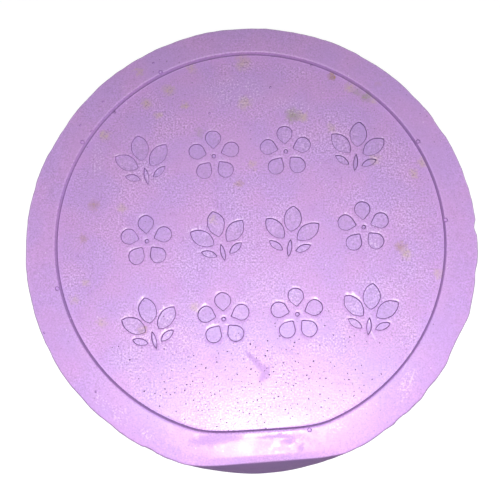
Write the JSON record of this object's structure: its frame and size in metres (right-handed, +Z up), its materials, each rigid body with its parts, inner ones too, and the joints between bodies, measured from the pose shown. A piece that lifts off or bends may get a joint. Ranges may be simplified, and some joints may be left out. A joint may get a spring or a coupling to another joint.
{
  "type": "shaving soap",
  "caption": "Round puck of cast soap with a domed rim round a sunk field that carries a stamped pattern, for lathering with a brush.",
  "frame": {"origin": "middle of the flat back, which is the face that it rests on", "axes": "+Z up through the stamped face, +Y towards the top of the stamped rows as they are read, -Y towards the pressed side"},
  "size_m": [0.0766, 0.0766, 0.025],
  "materials": {
    "soap": "lilac cast soap, satin, with fine pits and a few tan stains"
  },
  "bodies": {
    "root": {"soap_puck": "soap"}
  },
  "joints": []
}
